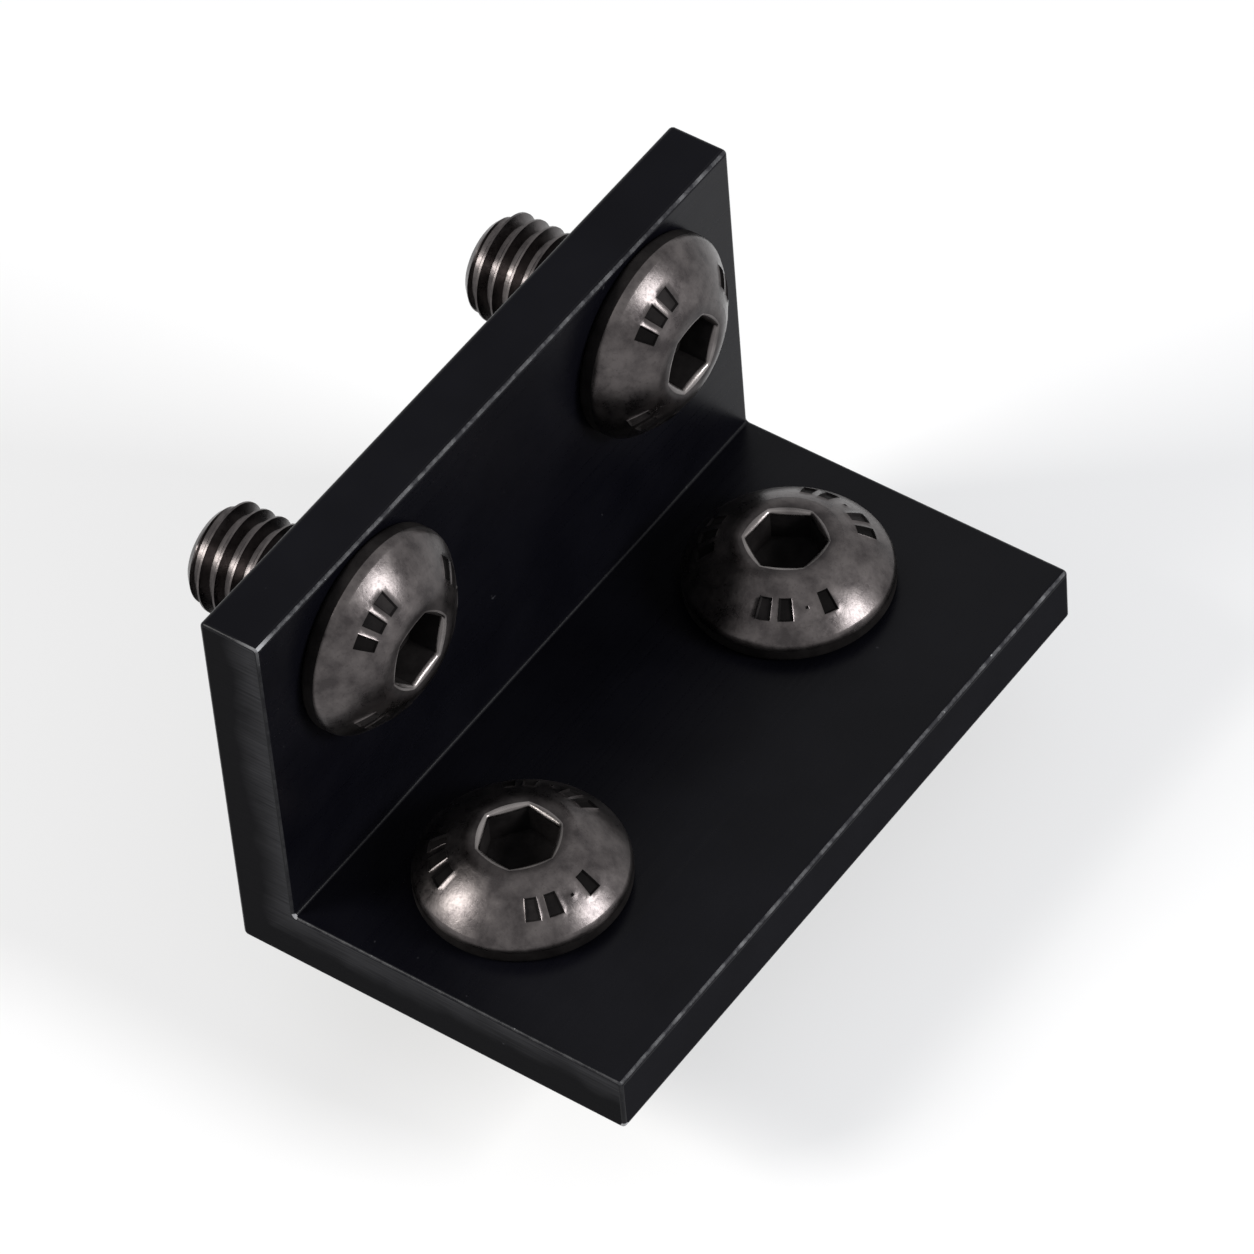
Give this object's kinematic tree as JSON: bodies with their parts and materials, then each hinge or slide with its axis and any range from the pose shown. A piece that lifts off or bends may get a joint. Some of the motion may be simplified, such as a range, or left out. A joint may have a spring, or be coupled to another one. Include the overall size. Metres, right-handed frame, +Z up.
{
  "type": "l bracket",
  "caption": "Black anodised L bracket cut from angle section, with button head screws seated in its legs to join slotted framing rails at a right angle.",
  "frame": {"origin": "middle of the outer heel edge, where the planes of the two seat faces meet", "axes": "+X out along the base leg, +Y along the bracket's length, +Z up the upright leg"},
  "size_m": [0.025, 0.034, 0.025],
  "materials": {
    "black_anodised": "satin black anodised",
    "screw_steel": "satin, slightly mottled"
  },
  "bodies": {
    "root": {"angle_bracket": "black_anodised", "button_head_screws": "screw_steel"}
  },
  "joints": []
}
